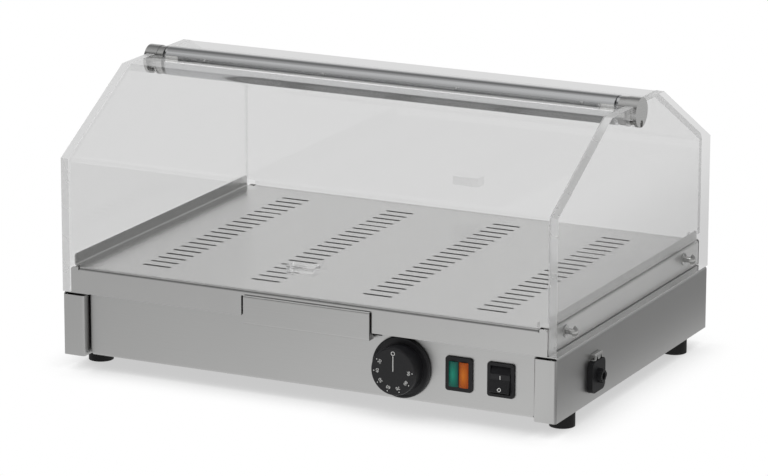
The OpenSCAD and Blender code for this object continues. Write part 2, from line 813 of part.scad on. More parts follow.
module cable_gland() color("black") difference() {
    union() {
        along_x(xh, xh + inlet_flange)
            translate([-inlet_y, z_inlet]) rounded(inlet_width, inlet_height, inlet_corner);
        along_x(xh, xh + inlet_flange + boss_length)
            translate([-inlet_y, z_inlet]) lobed(inlet_boss, boss_lobe);
        rod_x(inlet_stem, xh - stem_length, xh, -inlet_y, z_inlet);
    }
    rod_x(cable_hole, xh - stem_length - through, xh + inlet_flange + boss_length + through, -inlet_y, z_inlet);
}

module gland_clamp() color("silver") difference() {
    along_y(-inlet_y - clamp_width / 2, -inlet_y + clamp_width / 2) bent_sheet([
        [xh, z_inlet + inlet_height / 2], [xh + clamp_proud, z_inlet + inlet_height / 2],
        [xh + clamp_proud, z_inlet + inlet_height / 2 + clamp_height],
        [xh, z_inlet + inlet_height / 2 + clamp_height]], sheet, 0.5);
    for (y = [-1, 1]) translate([0, y * clamp_width / 4 - inlet_y, z_inlet + inlet_height / 2])
        along_x(xh - through, xh + clamp_proud + through)
            polygon([[-clamp_notch, -through], [clamp_notch, -through], [0, clamp_height - 2 * sheet]]);
}

module terminal_block() color("white") difference() {
    block(block_x, block_x + block_width, -inlet_y - block_length / 2, -inlet_y + block_length / 2,
        z_block, z_block + block_height);
    for (y = [-block_pitch, 0, block_pitch]) {
        rod_x(block_wire, block_x - through, block_x + block_width + through, y - inlet_y, z_wire);
        for (x = [block_screw, block_width - block_screw])
            rod_z(block_screw, z_wire, z_block + block_height + through, block_x + x, y - inlet_y);
    }
}

// ---------------------------------------------------------------- hood

// The clear side panels hang on their screws, just clear of the ledges
module side_glass_sheet() difference() {
    along_x(xh - side_glass, xh) polygon([
        [-yh, z_rim + moving_gap], [yh, z_rim + moving_gap], [yh, z_fold], [top_y, z_top],
        [-top_y, z_top], [-yh, z_fold]]);
    front_and_rear() rod_x(glass_screw + 2 * screw_fit, xh - side_glass - through, xh + through,
        glass_screw_y, z_glass_screw);
    rod_x(cap_screw + 2 * screw_fit, xh - side_glass - through, xh + through, 0, z_cap_screw);
}

module side_glass_right() color("azure", 0.4) side_glass_sheet();
module side_glass_left() color("azure", 0.4) mirror([1, 0, 0]) side_glass_sheet();

module glass_screws() color("silver") front_and_rear() both_sides() {
    translate([xh, glass_screw_y, z_glass_screw]) rotate([0, 90, 0]) dome(dome_diameter, dome_height);
    rod_x(glass_screw, bracket_x - bracket - nut_height - 1, xh, glass_screw_y, z_glass_screw);
}

module glass_spacers() color("dimgray") front_and_rear() both_sides() difference() {
    rod_x(spacer_diameter, bracket_x, xh - side_glass, glass_screw_y, z_glass_screw);
    rod_x(glass_screw + 2 * screw_fit, bracket_x - through, xh, glass_screw_y, z_glass_screw);
}

module glass_nuts() color("silver") front_and_rear() both_sides()
    translate([bracket_x - bracket - nut_height, glass_screw_y, z_glass_screw]) rotate([0, 90, 0])
        hex_nut(nut_width, nut_height, glass_screw);

// The front flap's section: a top leg, a slanting pane and an upright pane
module flap() difference() {
    along_x(-flap_x, flap_x) formed_sheet([
        [-leg_y, z_top], [-top_y, z_top], [-yh, z_fold], [-yh, z_flap]], flap_glass, flap_bend);
    both_sides() block(flap_x - flap_notch_x, flap_x + through, -yh - through, -yh + flap_glass + through,
        z_flap - through, z_deck + flap_notch_rise);
}

module front_flap() color("azure", 0.4) difference() {
    union() {
        flap();
        block(-rail_x + pin_block, rail_x - pin_block, -leg_y - 1, slit_y, z_top - flap_glass, z_top);
    }
    rail_bolt_places() cylinder(d = bolt_diameter + 2 * screw_fit, h = tube_diameter);
}

module rear_flap() color("azure", 0.4) mirror([0, 1, 0]) flap();

module handle() translate([handle_shift, -yh - handle_reach / 2, z_deck + handle_rise - handle_height / 2])
    difference() {
        linear_extrude(handle_height) rounded(handle_width, handle_reach, 1);
        translate([0, -handle_reach / 2 - scoop_radius + scoop, -through])
            cylinder(r = scoop_radius, h = handle_height + 2 * through);
    }

module front_handle() color("azure", 0.4) handle();
module rear_handle() color("azure", 0.4) rotate(180) handle();

// ---------------------------------------------------------------- hinge tube

module rail_bolt_places() both_sides() for (x = [bolt_inner, bolt_outer])
    translate([x, 0, z_tube - tube_r]) children();

// The part of the tube's section between two heights
module tube_section(r, z0, z1) intersection() {
    translate([0, z_tube]) circle(r);
    translate([-tube_r, z0]) square([2 * tube_r, z1 - z0]);
}

module upper_rail() color("silver") difference() {
    along_x(-rail_x, rail_x) tube_section(tube_r, z_top, z_tube + tube_r + 1);
    rail_bolt_places() cylinder(d = bolt_diameter + 2 * running_fit, h = tube_diameter - 2);
}

module lower_rail() color("silver") difference() {
    along_x(-rail_x, rail_x) tube_section(tube_r, z_tube - tube_r - 1, z_top - flap_glass);
    rail_bolt_places() {
        translate([0, 0, -through]) cylinder(d = bolt_head + 2 * screw_fit, h = bolt_recess + through);
        cylinder(d = bolt_diameter + 2 * screw_fit, h = tube_diameter);
    }
}

module rail_bolts() color("gray") rail_bolt_places() difference() {
    union() {
        translate([0, 0, 0.4]) cylinder(d = bolt_head, h = bolt_recess - 0.4);
        translate([0, 0, bolt_recess]) cylinder(d = bolt_diameter, h = tube_diameter - bolt_recess - 2.3);
    }
    translate([0, 0, -through]) cylinder(d = hex_key, h = hex_key_depth + through, $fn = 6);
}

// Blocks clamped between the rails' ends, each with the pin that the flaps swing on
module hinge_pins() color("gray") both_sides() {
    block(rail_x - pin_block + moving_gap, rail_x, -slit_y, slit_y, z_top - flap_glass, z_top);
    rod_x(pin_diameter, rail_x, cap_x + pin_seat - moving_gap, 0, z_pin);
}

module rear_hinge_plates() color("gray") both_sides() {
    difference() {
        along_x(rail_x + moving_gap, cap_x - moving_gap) {
            translate([0, z_pin]) circle(hub_r);
            translate([0, z_top - flap_glass - arm_drop]) square([tab_y, arm_drop]);
        }
        rod_x(pin_diameter + 2 * running_fit, rail_x, cap_x, 0, z_pin);
    }
    block(rail_x + moving_gap - tab_x, cap_x - moving_gap, leg_y + 2, tab_y,
        z_top - flap_glass - tab, z_top - flap_glass);
}

// A cap that straddles the side panel's top edge and holds the hinge pin
module end_cap() difference() {
    union() {
        rod_x(2 * tube_r, xh, xh + cap_disc, 0, z_tube);
        along_x(xh - side_glass, xh) tube_section(tube_r, z_top, z_tube + tube_r + 1);
        rod_x(2 * tube_r, xh - side_glass - cap_face, xh - side_glass, 0, z_tube);
        rod_x(2 * (tube_r - boss_inset), cap_x, xh - side_glass - cap_face, 0, z_tube);
    }
    rod_x(pin_diameter + 2 * running_fit, cap_x - through, cap_x + pin_seat, 0, z_pin);
    rod_x(cap_screw + 2 * running_fit, cap_x + 2, xh + cap_disc, 0, z_cap_screw);
    rod_x(cap_screw_head + 2 * screw_fit, xh + cap_disc - cap_recess, xh + cap_disc + through, 0, z_cap_screw);
}

module end_cap_right() color("gray") end_cap();
module end_cap_left() color("gray") mirror([1, 0, 0]) end_cap();

module end_cap_screws() color("silver") both_sides() difference() {
    union() {
        rod_x(cap_screw_head, xh + cap_disc - cap_recess, xh + cap_disc - cap_head_sink, 0, z_cap_screw);
        rod_x(cap_screw, cap_x + 2.5, xh + cap_disc - cap_recess, 0, z_cap_screw);
    }
    block(xh + cap_disc - cap_head_sink - 0.7 * cap_slot, xh + cap_disc, -cap_screw_head, cap_screw_head,
        z_cap_screw - cap_slot / 2, z_cap_screw + cap_slot / 2);
}

bottom_plate();
side_panel_left();
side_panel_right();
front_panel();
rear_panel();
foot_front_left();
foot_front_right();
foot_rear_left();
foot_rear_right();
foot_screws();
deck();
glass_bracket_left();
glass_bracket_right();
heat_shield();
heating_element();
heater_terminals();
heater_clips();
thermostat_body();
thermostat_bulb();
thermostat_spindle();
thermostat_knob();
lamp_bezel();
lamp_lens_green();
lamp_lens_orange();
switch_housing();
switch_rocker();
water_drawer_tray();
water_drawer_front();
drawer_runners();
cable_gland();
gland_clamp();
terminal_block();
side_glass_left();
side_glass_right();
glass_screws();
glass_spacers();
glass_nuts();
front_flap();
front_handle();
upper_rail();
lower_rail();
rail_bolts();
hinge_pins();
rear_flap();
rear_handle();
rear_hinge_plates();
end_cap_left();
end_cap_right();
end_cap_screws();
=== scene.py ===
# %% [markdown]
# # A heated display case
# The real thing is a shallow box of folded stainless steel with a slotted, warmed deck, under a
# hood of clear acrylic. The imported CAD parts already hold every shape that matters, so this
# script spends its effort on what light does to steel, acrylic and moulded plastic.

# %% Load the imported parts
import math

import bpy
from mathutils import Matrix, Vector


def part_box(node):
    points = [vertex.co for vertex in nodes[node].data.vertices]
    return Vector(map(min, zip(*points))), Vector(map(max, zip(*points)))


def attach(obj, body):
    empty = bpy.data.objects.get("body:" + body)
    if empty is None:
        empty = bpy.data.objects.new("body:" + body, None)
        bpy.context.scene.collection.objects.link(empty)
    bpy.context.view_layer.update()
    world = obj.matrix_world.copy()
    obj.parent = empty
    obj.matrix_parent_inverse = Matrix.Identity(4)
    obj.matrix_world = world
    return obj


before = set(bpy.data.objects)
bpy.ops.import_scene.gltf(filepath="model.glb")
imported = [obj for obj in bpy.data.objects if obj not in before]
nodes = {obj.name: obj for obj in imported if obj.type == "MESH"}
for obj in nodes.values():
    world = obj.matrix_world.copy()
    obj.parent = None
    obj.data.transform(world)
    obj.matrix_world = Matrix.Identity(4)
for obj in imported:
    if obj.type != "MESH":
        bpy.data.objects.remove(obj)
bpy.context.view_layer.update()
scene = bpy.context.scene
scene.view_settings.view_transform = "Standard"
# A line of sight can cross both flaps, a side panel and a rail, and each has two faces.
scene.cycles.max_bounces = 24
scene.cycles.glossy_bounces = 12
scene.cycles.transmission_bounces = 16
scene.cycles.transparent_max_bounces = 48
print("parts loaded:", len(nodes))

# %% [markdown]
# ## Two small helpers
# Colours are written as hex values, the way a paint chart gives them. Blender works in linear
# light, so one function turns them. A second function adds a shader node, sets it and links it.

# %% Colour and node helpers
MM = 0.001


def linear(hex_colour, alpha=1.0):
    """An sRGB hex value as linear RGBA."""
    parts = [int(hex_colour[i:i + 2], 16) / 255 for i in (1, 3, 5)]
    return [c / 12.92 if c <= 0.04045 else ((c + 0.055) / 1.055) ** 2.4 for c in parts] + [alpha]


def add_node(tree, kind, settings=None, out=None, **inputs):
    """Adds a node. Settings are its own properties; inputs are values or other sockets.

    An input is named as in Blender, with _ for a space, or by its number, as in in0. The node
    comes back, or, with out, one of its output sockets.
    """
    made = tree.nodes.new(kind)
    for name, value in (settings or {}).items():
        setattr(made, name, value)
    for name, value in inputs.items():
        key = int(name[2:]) if name.startswith("in") and name[2:].isdigit() else name.replace("_", " ")
        socket = made.inputs[key]
        if isinstance(value, bpy.types.NodeSocket):
            tree.links.new(value, socket)
        else:
            socket.default_value = value
    return made if out is None else made.outputs[out]


# Settings that several nodes share.
MIX = {"data_type": "RGBA"}
MULTIPLY = {"data_type": "RGBA", "blend_type": "MULTIPLY"}
SMOOTH = {"interpolation_type": "SMOOTHSTEP"}
# A noise texture's values crowd around 0.5, so only this part of its range is used.
NOISE_RANGE = {"From_Min": 0.3, "From_Max": 0.7}


def new_material(name):
    """An empty node material with its output, and the output's surface socket."""
    made = bpy.data.materials.new(name)
    made.use_nodes = True
    made.node_tree.nodes.clear()
    out = add_node(made.node_tree, "ShaderNodeOutputMaterial")
    return made, made.node_tree, out.inputs["Surface"]


# %% [markdown]
# ## The camera
# A long lens from a little above the front right corner keeps the upright edges almost parallel,
# as in a catalogue picture. The camera aims at a point just left of the case's middle.

# %% Camera
AIM = Vector((-5.39, 0.0, 115.51)) * MM
DISTANCE = 4137.5 * MM
AZIMUTH = math.radians(26.076)
ELEVATION = math.radians(14.754)
ROLL = math.radians(0.159)

camera_data = bpy.data.cameras.new("camera")
camera_data.lens = 203.2
camera_data.sensor_width = 36.0
camera_data.clip_end = 100.0
camera = bpy.data.objects.new("camera", camera_data)
scene.collection.objects.link(camera)
offset = Vector((math.sin(AZIMUTH) * math.cos(ELEVATION),
                 -math.cos(AZIMUTH) * math.cos(ELEVATION),
                 math.sin(ELEVATION))) * DISTANCE
look = (-offset).to_track_quat("-Z", "Y").to_matrix().to_4x4()
camera.matrix_world = Matrix.Translation(AIM + offset) @ look @ Matrix.Rotation(ROLL, 4, "Z")
scene.camera = camera
print("camera stands at", [round(v, 3) for v in camera.matrix_world.translation])

# %% [markdown]
# ## The studio
# Polished metal shows its surroundings, so the room matters more than the lamps. The product
# stands in front of a white sweep that wraps under and behind it, and the room in front is a
# quiet grey. The world node tree draws both from the direction of each ray: white towards the
# sweep, mid grey towards the room, and darker grey to the right. The hood's inside is brighter,
# and a ray that has passed through clear acrylic is known by its transparent depth.

# %% World
world = bpy.data.worlds.new("studio")
scene.world = world
world.use_nodes = True
wt = world.node_tree
wt.nodes.clear()

path = add_node(wt, "ShaderNodeLightPath")
toward = add_node(wt, "ShaderNodeTexCoord", out="Generated")
axes = add_node(wt, "ShaderNodeSeparateXYZ", Vector=toward)
in_hood = add_node(wt, "ShaderNodeMath", {"operation": "GREATER_THAN"}, out=0,
                   in0=path.outputs["Transparent Depth"], in1=0.5)

# Each share runs from 0 to 1 as a ray turns towards that part of the room.
rightward = add_node(wt, "ShaderNodeMapRange", SMOOTH, out=0, Value=axes.outputs["X"],
                     From_Min=0.0, From_Max=0.5)
rearward = add_node(wt, "ShaderNodeMapRange", SMOOTH, out=0, Value=axes.outputs["Y"],
                    From_Min=-0.1, From_Max=0.3)
raised = add_node(wt, "ShaderNodeMapRange", SMOOTH, out=0, Value=axes.outputs["Z"],
                  From_Min=0.38, From_Max=0.6)
overhead = add_node(wt, "ShaderNodeMapRange", SMOOTH, out=0, Value=axes.outputs["Z"],
                    From_Min=0.78, From_Max=0.88)

sweep = linear("#FFFFFF")
right_side = add_node(wt, "ShaderNodeMix", MIX, out=2, in0=in_hood,
                      in6=linear("#A6A6A7"), in7=linear("#A8A8A8"))
rear = add_node(wt, "ShaderNodeMix", MIX, out=2, in0=rightward, in6=sweep, in7=right_side)
horizon = add_node(wt, "ShaderNodeMix", MIX, out=2, in0=rearward, in6=linear("#B9B9B9"), in7=rear)
ceiling = add_node(wt, "ShaderNodeMix", MIX, out=2, in0=rearward,
                   in6=linear("#6C6C6C"), in7=linear("#9E9E9E"))
ceiling = add_node(wt, "ShaderNodeMix", MIX, out=2, in0=in_hood, in6=ceiling, in7=linear("#BEBEBE"))
upward = add_node(wt, "ShaderNodeMix", MIX, out=2, in0=raised, in6=horizon, in7=ceiling)
surround = add_node(wt, "ShaderNodeMix", MIX, out=2, in0=overhead, in6=upward, in7=linear("#DEDEDE"))
# Outside the hood, level faces mirror a duller part of the sweep.
share_shown = add_node(wt, "ShaderNodeMix", MIX, out=2, in0=in_hood,
                       in6=linear("#D2D2D2"), in7=linear("#FAFAFA"))
mirrored = add_node(wt, "ShaderNodeMix", MULTIPLY, out=2, in0=1.0, in6=surround, in7=share_shown)
# A ray that has only passed through acrylic still looks at the plain white background.
bounces = add_node(wt, "ShaderNodeMath", {"operation": "ADD"}, out=0, in0=path.outputs["Glossy Depth"],
                   in1=path.outputs["Diffuse Depth"])
straight = add_node(wt, "ShaderNodeMath", {"operation": "LESS_THAN"}, out=0, in0=bounces, in1=0.5)
seen_through = add_node(wt, "ShaderNodeMath", {"operation": "MULTIPLY"}, out=0,
                        in0=path.outputs["Is Transmission Ray"], in1=straight)
sees_sweep = add_node(wt, "ShaderNodeMath", {"operation": "MAXIMUM"}, out=0,
                      in0=path.outputs["Is Camera Ray"], in1=seen_through)
seen = add_node(wt, "ShaderNodeMix", MIX, out=2, in0=sees_sweep, in6=mirrored, in7=sweep)
background = add_node(wt, "ShaderNodeBackground", out=0, Color=seen, Strength=1.0)
# Diffuse surfaces are lit by the lamps as well, so the room lends them less than it shows.
fill = add_node(wt, "ShaderNodeBackground", out=0, Color=surround, Strength=0.55)
light_or_look = add_node(wt, "ShaderNodeMixShader", out=0, Fac=path.outputs["Is Diffuse Ray"],
                         in1=background, in2=fill)
add_node(wt, "ShaderNodeOutputWorld", Surface=light_or_look)
print("world nodes:", len(wt.nodes))

# %% [markdown]
# ## Lamps
# Two large soft boxes do the lighting. One hangs over the case and a little to the front left,
# and one fills from the right. Large lamps give the wide, soft shadows of a product picture.

# %% Lamps


def soft_box(name, place_mm, aim_mm, size_mm, watts):
    """A square area lamp that points at a spot on the case."""
    data = bpy.data.lights.new(name, "AREA")
    data.size = size_mm * MM
    data.energy = watts
    lamp = bpy.data.objects.new(name, data)
    place = Vector(place_mm) * MM
    lamp.matrix_world = (Matrix.Translation(place)
                         @ (Vector(aim_mm) * MM - place).to_track_quat("-Z", "Y").to_matrix().to_4x4())
    # The room already gives steel something to show, so the lamps stay out of reflections.
    lamp.visible_glossy = False
    scene.collection.objects.link(lamp)
    return lamp


soft_box("overhead_box", (-500, -500, 1900), (0, 0, 100), 1400, 26)
soft_box("right_fill", (1600, -900, 900), (0, 0, 100), 1000, 7)

# %% [markdown]
# ## The floor
# The sweep runs under the case. It glows white to the camera, and in what steel and acrylic
# show of it, with the case's soft shadow on it painted in as shade. Bounced light sees matt paper.

# %% Floor
FLOOR_HALF = 15.0
FLOOR_DROP = 0.2 * MM
CONTACT_REACH = 60 * MM


def white_paper():
    """Paper that glows to the eye and is matt to the lamps."""
    made, tree, surface = new_material("white_paper_sweep")
    path = add_node(tree, "ShaderNodeLightPath")
    # Painted shadow: the glow is painted grey where the case stands close.
    contact = add_node(tree, "ShaderNodeAmbientOcclusion", {"samples": 8}, out="AO",
                       Distance=CONTACT_REACH)
    clear_of_case = add_node(tree, "ShaderNodeMapRange", SMOOTH, out=0, Value=contact,
                             From_Min=0.15, From_Max=0.9)
    painted_contact_shadow = add_node(tree, "ShaderNodeMix", MIX, out=2, in0=clear_of_case,
                         in6=linear("#C8C8C8"), in7=linear("#FFFFFF"))
    # What steel mirrors of the sweep is painted light: it brightens from left to right, and a
    # painted shade strip lies just beyond the case's right end. Steel shows it so: the front panel
    # is lightest at its right-hand end, the side panel is darker, and the hinge tube's cap, which mirrors
    # the floor farther out, is light.
    place = add_node(tree, "ShaderNodeTexCoord", out="Object")
    across = add_node(tree, "ShaderNodeSeparateXYZ", out="X", Vector=place)
    under_case = add_node(tree, "ShaderNodeMapRange", out=0, Value=across, From_Min=-0.35, From_Max=0.17)
    in_painted_shade = add_node(tree, "ShaderNodeMapRange", SMOOTH, out=0, Value=across,
                        From_Min=0.20, From_Max=0.36)
    past_painted_shade = add_node(tree, "ShaderNodeMapRange", SMOOTH, out=0, Value=across,
                          From_Min=0.40, From_Max=0.60)
    painted_floor_reflection = add_node(tree, "ShaderNodeMix", MIX, out=2, in0=under_case,
                        in6=linear("#CDCDCD"), in7=linear("#EEEEEE"))
    painted_floor_reflection = add_node(tree, "ShaderNodeMix", MIX, out=2, in0=in_painted_shade,
                        in6=painted_floor_reflection, in7=linear("#828282"))
    painted_floor_reflection = add_node(tree, "ShaderNodeMix", MIX, out=2, in0=past_painted_shade,
                        in6=painted_floor_reflection, in7=linear("#D0D0D0"))
    # Behind the hood the sweep is painted a little darker, a painted shade which makes the clear sheets
    # visible.
    behind = add_node(tree, "ShaderNodeMath", {"operation": "GREATER_THAN"}, out=0,
                      in0=path.outputs["Transparent Depth"], in1=0.5)
    toned = add_node(tree, "ShaderNodeMix", MULTIPLY, out=2, in0=behind,
                     in6=painted_contact_shadow, in7=linear("#E9E9E9"))
    painted_floor_reflection = add_node(tree, "ShaderNodeMix", MIX, out=2, in0=behind,
                        in6=painted_floor_reflection, in7=linear("#E8E8E8"))
    shown = add_node(tree, "ShaderNodeMix", MIX, out=2, in0=path.outputs["Is Glossy Ray"],
                     in6=toned, in7=painted_floor_reflection)
    glow = add_node(tree, "ShaderNodeEmission", out=0, Color=shown, Strength=1.0)
    matt = add_node(tree, "ShaderNodeBsdfDiffuse", out=0, Color=linear("#E6E6E6"))
    looked_at = add_node(tree, "ShaderNodeMath", {"operation": "MAXIMUM"}, out=0,
                         in0=path.outputs["Is Camera Ray"], in1=path.outputs["Is Glossy Ray"])
    looked_at = add_node(tree, "ShaderNodeMath", {"operation": "MAXIMUM"}, out=0, in0=looked_at,
                         in1=path.outputs["Is Transmission Ray"])
    paper = add_node(tree, "ShaderNodeMixShader", out=0, Fac=looked_at, in1=matt, in2=glow)
    tree.links.new(paper, surface)
    return made


mesh = bpy.data.meshes.new("floor")
mesh.from_pydata([(x * FLOOR_HALF, y * FLOOR_HALF, 0) for x, y in ((-1, -1), (1, -1), (1, 1), (-1, 1))],
                 [], [(0, 1, 2, 3)])
mesh.materials.append(white_paper())
floor = bpy.data.objects.new("floor", mesh)
floor.location.z = -FLOOR_DROP
scene.collection.objects.link(floor)
print("floor", 2 * FLOOR_HALF, "m wide")

# %% [markdown]
# ## Brushed stainless steel
# The panels are 18/10 sheet, finished with an abrasive belt, so its face is covered in fine
# parallel scratches. They run along the belt's travel and make the surface shine softly along
# one direction. A noise texture, stretched a hundredfold along the grain, gives the scratches
# their colour, roughness and relief at once. Real scratches are about 0.1 mm wide; they are
# drawn at 0.9 mm here, because finer ones would not show.

# %% Brushed stainless
GRAIN_WIDTH = 0.9 * MM
GRAIN_LENGTH = 90 * MM


def grain(tree, axis, width=GRAIN_WIDTH, length=GRAIN_LENGTH):
    """Streaks that run along one axis of the row: a value around 0.5."""
    scale = [1 / width] * 3
    scale["XYZ".index(axis)] = 1 / length
    place = add_node(tree, "ShaderNodeTexCoord", out="Object")
    stretched = add_node(tree, "ShaderNodeMapping", out=0, Vector=place, Scale=scale)
    return add_node(tree, "ShaderNodeTexNoise", out=0, Vector=stretched, Scale=1.0, Detail=3.0,
                    Roughness=0.55)


def facing_up(tree, low=0.2, high=0.6):
    """1 on level faces that look up, 0 on upright ones."""
    normal = add_node(tree, "ShaderNodeTexCoord", out="Normal")
    up = add_node(tree, "ShaderNodeSeparateXYZ", out="Z", Vector=normal)
    return add_node(tree, "ShaderNodeMapRange", out=0, Value=up, From_Min=low, From_Max=high)


def seam_shade(tree, colour, reach_mm=1.0):
    """Paints shade on upright steel within a hair of the next sheet, where less light reaches."""
    seam = add_node(tree, "ShaderNodeAmbientOcclusion", {"samples": 6}, out="AO", Distance=reach_mm * MM)
    in_open = add_node(tree, "ShaderNodeMapRange", out=0, Value=seam, From_Min=0.45, From_Max=0.95)
    lit = add_node(tree, "ShaderNodeMath", {"operation": "MAXIMUM"}, out=0,
                   in0=facing_up(tree), in1=in_open)
    return add_node(tree, "ShaderNodeMix", MIX, out=2, in0=lit, in6=linear("#5C5C5B"), in7=colour)


def brushed_stainless(name, axis, dark, light):
    """Belt-finished sheet whose scratches run along one axis."""
    made, tree, surface = new_material(name)
    streaks = grain(tree, axis)
    place = add_node(tree, "ShaderNodeTexCoord", out="Object")
    clouds = add_node(tree, "ShaderNodeTexNoise", out=0, Vector=place, Scale=9.0, Detail=1.0)
    fine = add_node(tree, "ShaderNodeMapRange", out=0, Value=streaks, To_Min=0.0, To_Max=0.7, **NOISE_RANGE)
    broad = add_node(tree, "ShaderNodeMapRange", out=0, Value=clouds, To_Min=0.0, To_Max=0.3, **NOISE_RANGE)
    tone = add_node(tree, "ShaderNodeMath", {"operation": "ADD"}, out=0, in0=fine, in1=broad)
    colour = add_node(tree, "ShaderNodeMix", MIX, out=2, in0=tone, in6=linear(dark), in7=linear(light))
    # The belt only reaches the upright faces. Faces that look up, such as the folded-in ledge, are painted
    # near white: a painted highlight.
    colour = add_node(tree, "ShaderNodeMix", MIX, out=2, in0=facing_up(tree),
                      in6=seam_shade(tree, colour), in7=linear("#F0F0EF"))
    roughness = add_node(tree, "ShaderNodeMapRange", out=0, Value=streaks, To_Min=0.30, To_Max=0.40,
                         **NOISE_RANGE)
    relief = add_node(tree, "ShaderNodeBump", out=0, Strength=0.12, Distance=0.02 * MM, Height=streaks)
    metal = add_node(tree, "ShaderNodeBsdfPrincipled", out=0, Base_Color=colour, Metallic=1.0,
                     Roughness=roughness, Normal=relief)
    tree.links.new(metal, surface)
    return made


steel_across = brushed_stainless("brushed_stainless_across", "X", "#C5C5C4", "#CBCBCA")
steel_upright = brushed_stainless("brushed_stainless_upright", "Z", "#C5C5C4", "#CBCBCA")
print("brushed steel:", steel_across.name, steel_upright.name)

# %% [markdown]
# ## Bright rolled stainless steel
# The deck, tray and brackets are left as the mill rolled them: smoother and brighter than the
# brushed panels, with a faint cloudiness and no direction. A low roughness shows the hood's
# corners and the handles as soft reflections. The brackets' steel is painted lighter.

# %% Bright rolled stainless


def rolled_stainless(name, dark, light, low, high):
    """Sheet as the mill left it; low and high are the roughness of its clouds."""
    made, tree, surface = new_material(name)
    place = add_node(tree, "ShaderNodeTexCoord", out="Object")
    clouds = add_node(tree, "ShaderNodeTexNoise", out=0, Vector=place, Scale=18.0, Detail=4.0)
    rolling = grain(tree, "X", 1.4 * MM, 260 * MM)
    tone = add_node(tree, "ShaderNodeMapRange", out=0, Value=clouds, To_Min=0.0, To_Max=1.0, **NOISE_RANGE)
    colour = add_node(tree, "ShaderNodeMix", MIX, out=2, in0=tone, in6=linear(dark), in7=linear(light))
    roughness = add_node(tree, "ShaderNodeMapRange", out=0, Value=clouds, To_Min=low, To_Max=high,
                         **NOISE_RANGE)
    relief = add_node(tree, "ShaderNodeBump", out=0, Strength=0.05, Distance=0.02 * MM, Height=rolling)
    # The base colour carries the painted seam shade.
    metal = add_node(tree, "ShaderNodeBsdfPrincipled", out=0, Base_Color=seam_shade(tree, colour),
                     Metallic=1.0, Roughness=roughness, Normal=relief)
    tree.links.new(metal, surface)
    return made


deck_steel = rolled_stainless("bright_rolled_stainless", "#C4C4C3", "#C8C8C7", 0.24, 0.27)
# The brackets take a lighter copy of the rolled steel: painted light, making up for what the acrylic in
# front of them dims.
bracket_steel_painted_lighter = rolled_stainless("satin_rolled_stainless", "#DEDEDD", "#E2E2E1", 0.42, 0.46)
print("deck and bracket steel:", deck_steel.name, bracket_steel_painted_lighter.name)

# %% [markdown]
# ## Polished aluminium and satin nickel
# The two rails of the hinge tube are aluminium extrusions, polished along their length. Their
# round backs turn the white sweep and the grey room into bright and dark lines. The end caps
# are machined and plated with satin nickel, which is warmer and a little softer.

# %% Polished metals


def polished_metal(name, hex_colour, low, high, width=0.7 * MM, painted_white_top=False):
    """Metal with faint lines along X; low and high are their roughness."""
    made, tree, surface = new_material(name)
    lines = grain(tree, "X", width, 200 * MM)
    roughness = add_node(tree, "ShaderNodeMapRange", out=0, Value=lines, To_Min=low, To_Max=high,
                         **NOISE_RANGE)
    relief = add_node(tree, "ShaderNodeBump", out=0, Strength=0.08, Distance=0.02 * MM, Height=lines)
    metal = add_node(tree, "ShaderNodeBsdfPrincipled", out=0, Base_Color=linear(hex_colour),
                     Metallic=1.0, Roughness=roughness, Normal=relief)
    if painted_white_top:
        # Faces that look up are painted matt and almost white: a painted reflection of the white sweep.
        white = add_node(tree, "ShaderNodeBsdfDiffuse", out=0, Color=linear("#FFFFFF"), Roughness=0.4)
        metal = add_node(tree, "ShaderNodeMixShader", out=0, Fac=facing_up(tree, 0.9, 0.97), in1=metal,
                         in2=white)
    tree.links.new(metal, surface)
    return made


rail_aluminium = polished_metal("polished_aluminium", "#CFD0D1", 0.10, 0.18)
rail_aluminium_painted_top = polished_metal("polished_aluminium_painted_white_top", "#CFD0D1", 0.10, 0.18, painted_white_top=True)
cap_nickel = polished_metal("satin_nickel_plate", "#C6C6C5", 0.20, 0.30, width=1.0 * MM)
zinc = polished_metal("bright_zinc_plate", "#DADAD8", 0.16, 0.26)
copper = polished_metal("bare_copper", "#B87B50", 0.25, 0.4)
element_sheath = polished_metal("heat_tinted_sheath", "#77716B", 0.35, 0.5)
print("polished metals:", rail_aluminium.name, cap_nickel.name, zinc.name)

# %% [markdown]
# ## Clear cast acrylic
# A flat acrylic sheet hardly shifts what lies behind it: it dims it a little and adds a faint
# reflection, stronger at a glancing angle. So its faces are a tinted transparent shader under a
# Fresnel reflection, and light, shadow and the white sweep all pass straight through. Its cut
# edges bend light as glass does, with acrylic's index of 1.49. The saw leaves them part matt,
# so they show up as soft pale bands. The surface's own normal tells the faces from the edges.

# %% Clear acrylic
ACRYLIC_INDEX = 1.49
ARRIS = 0.5 * MM


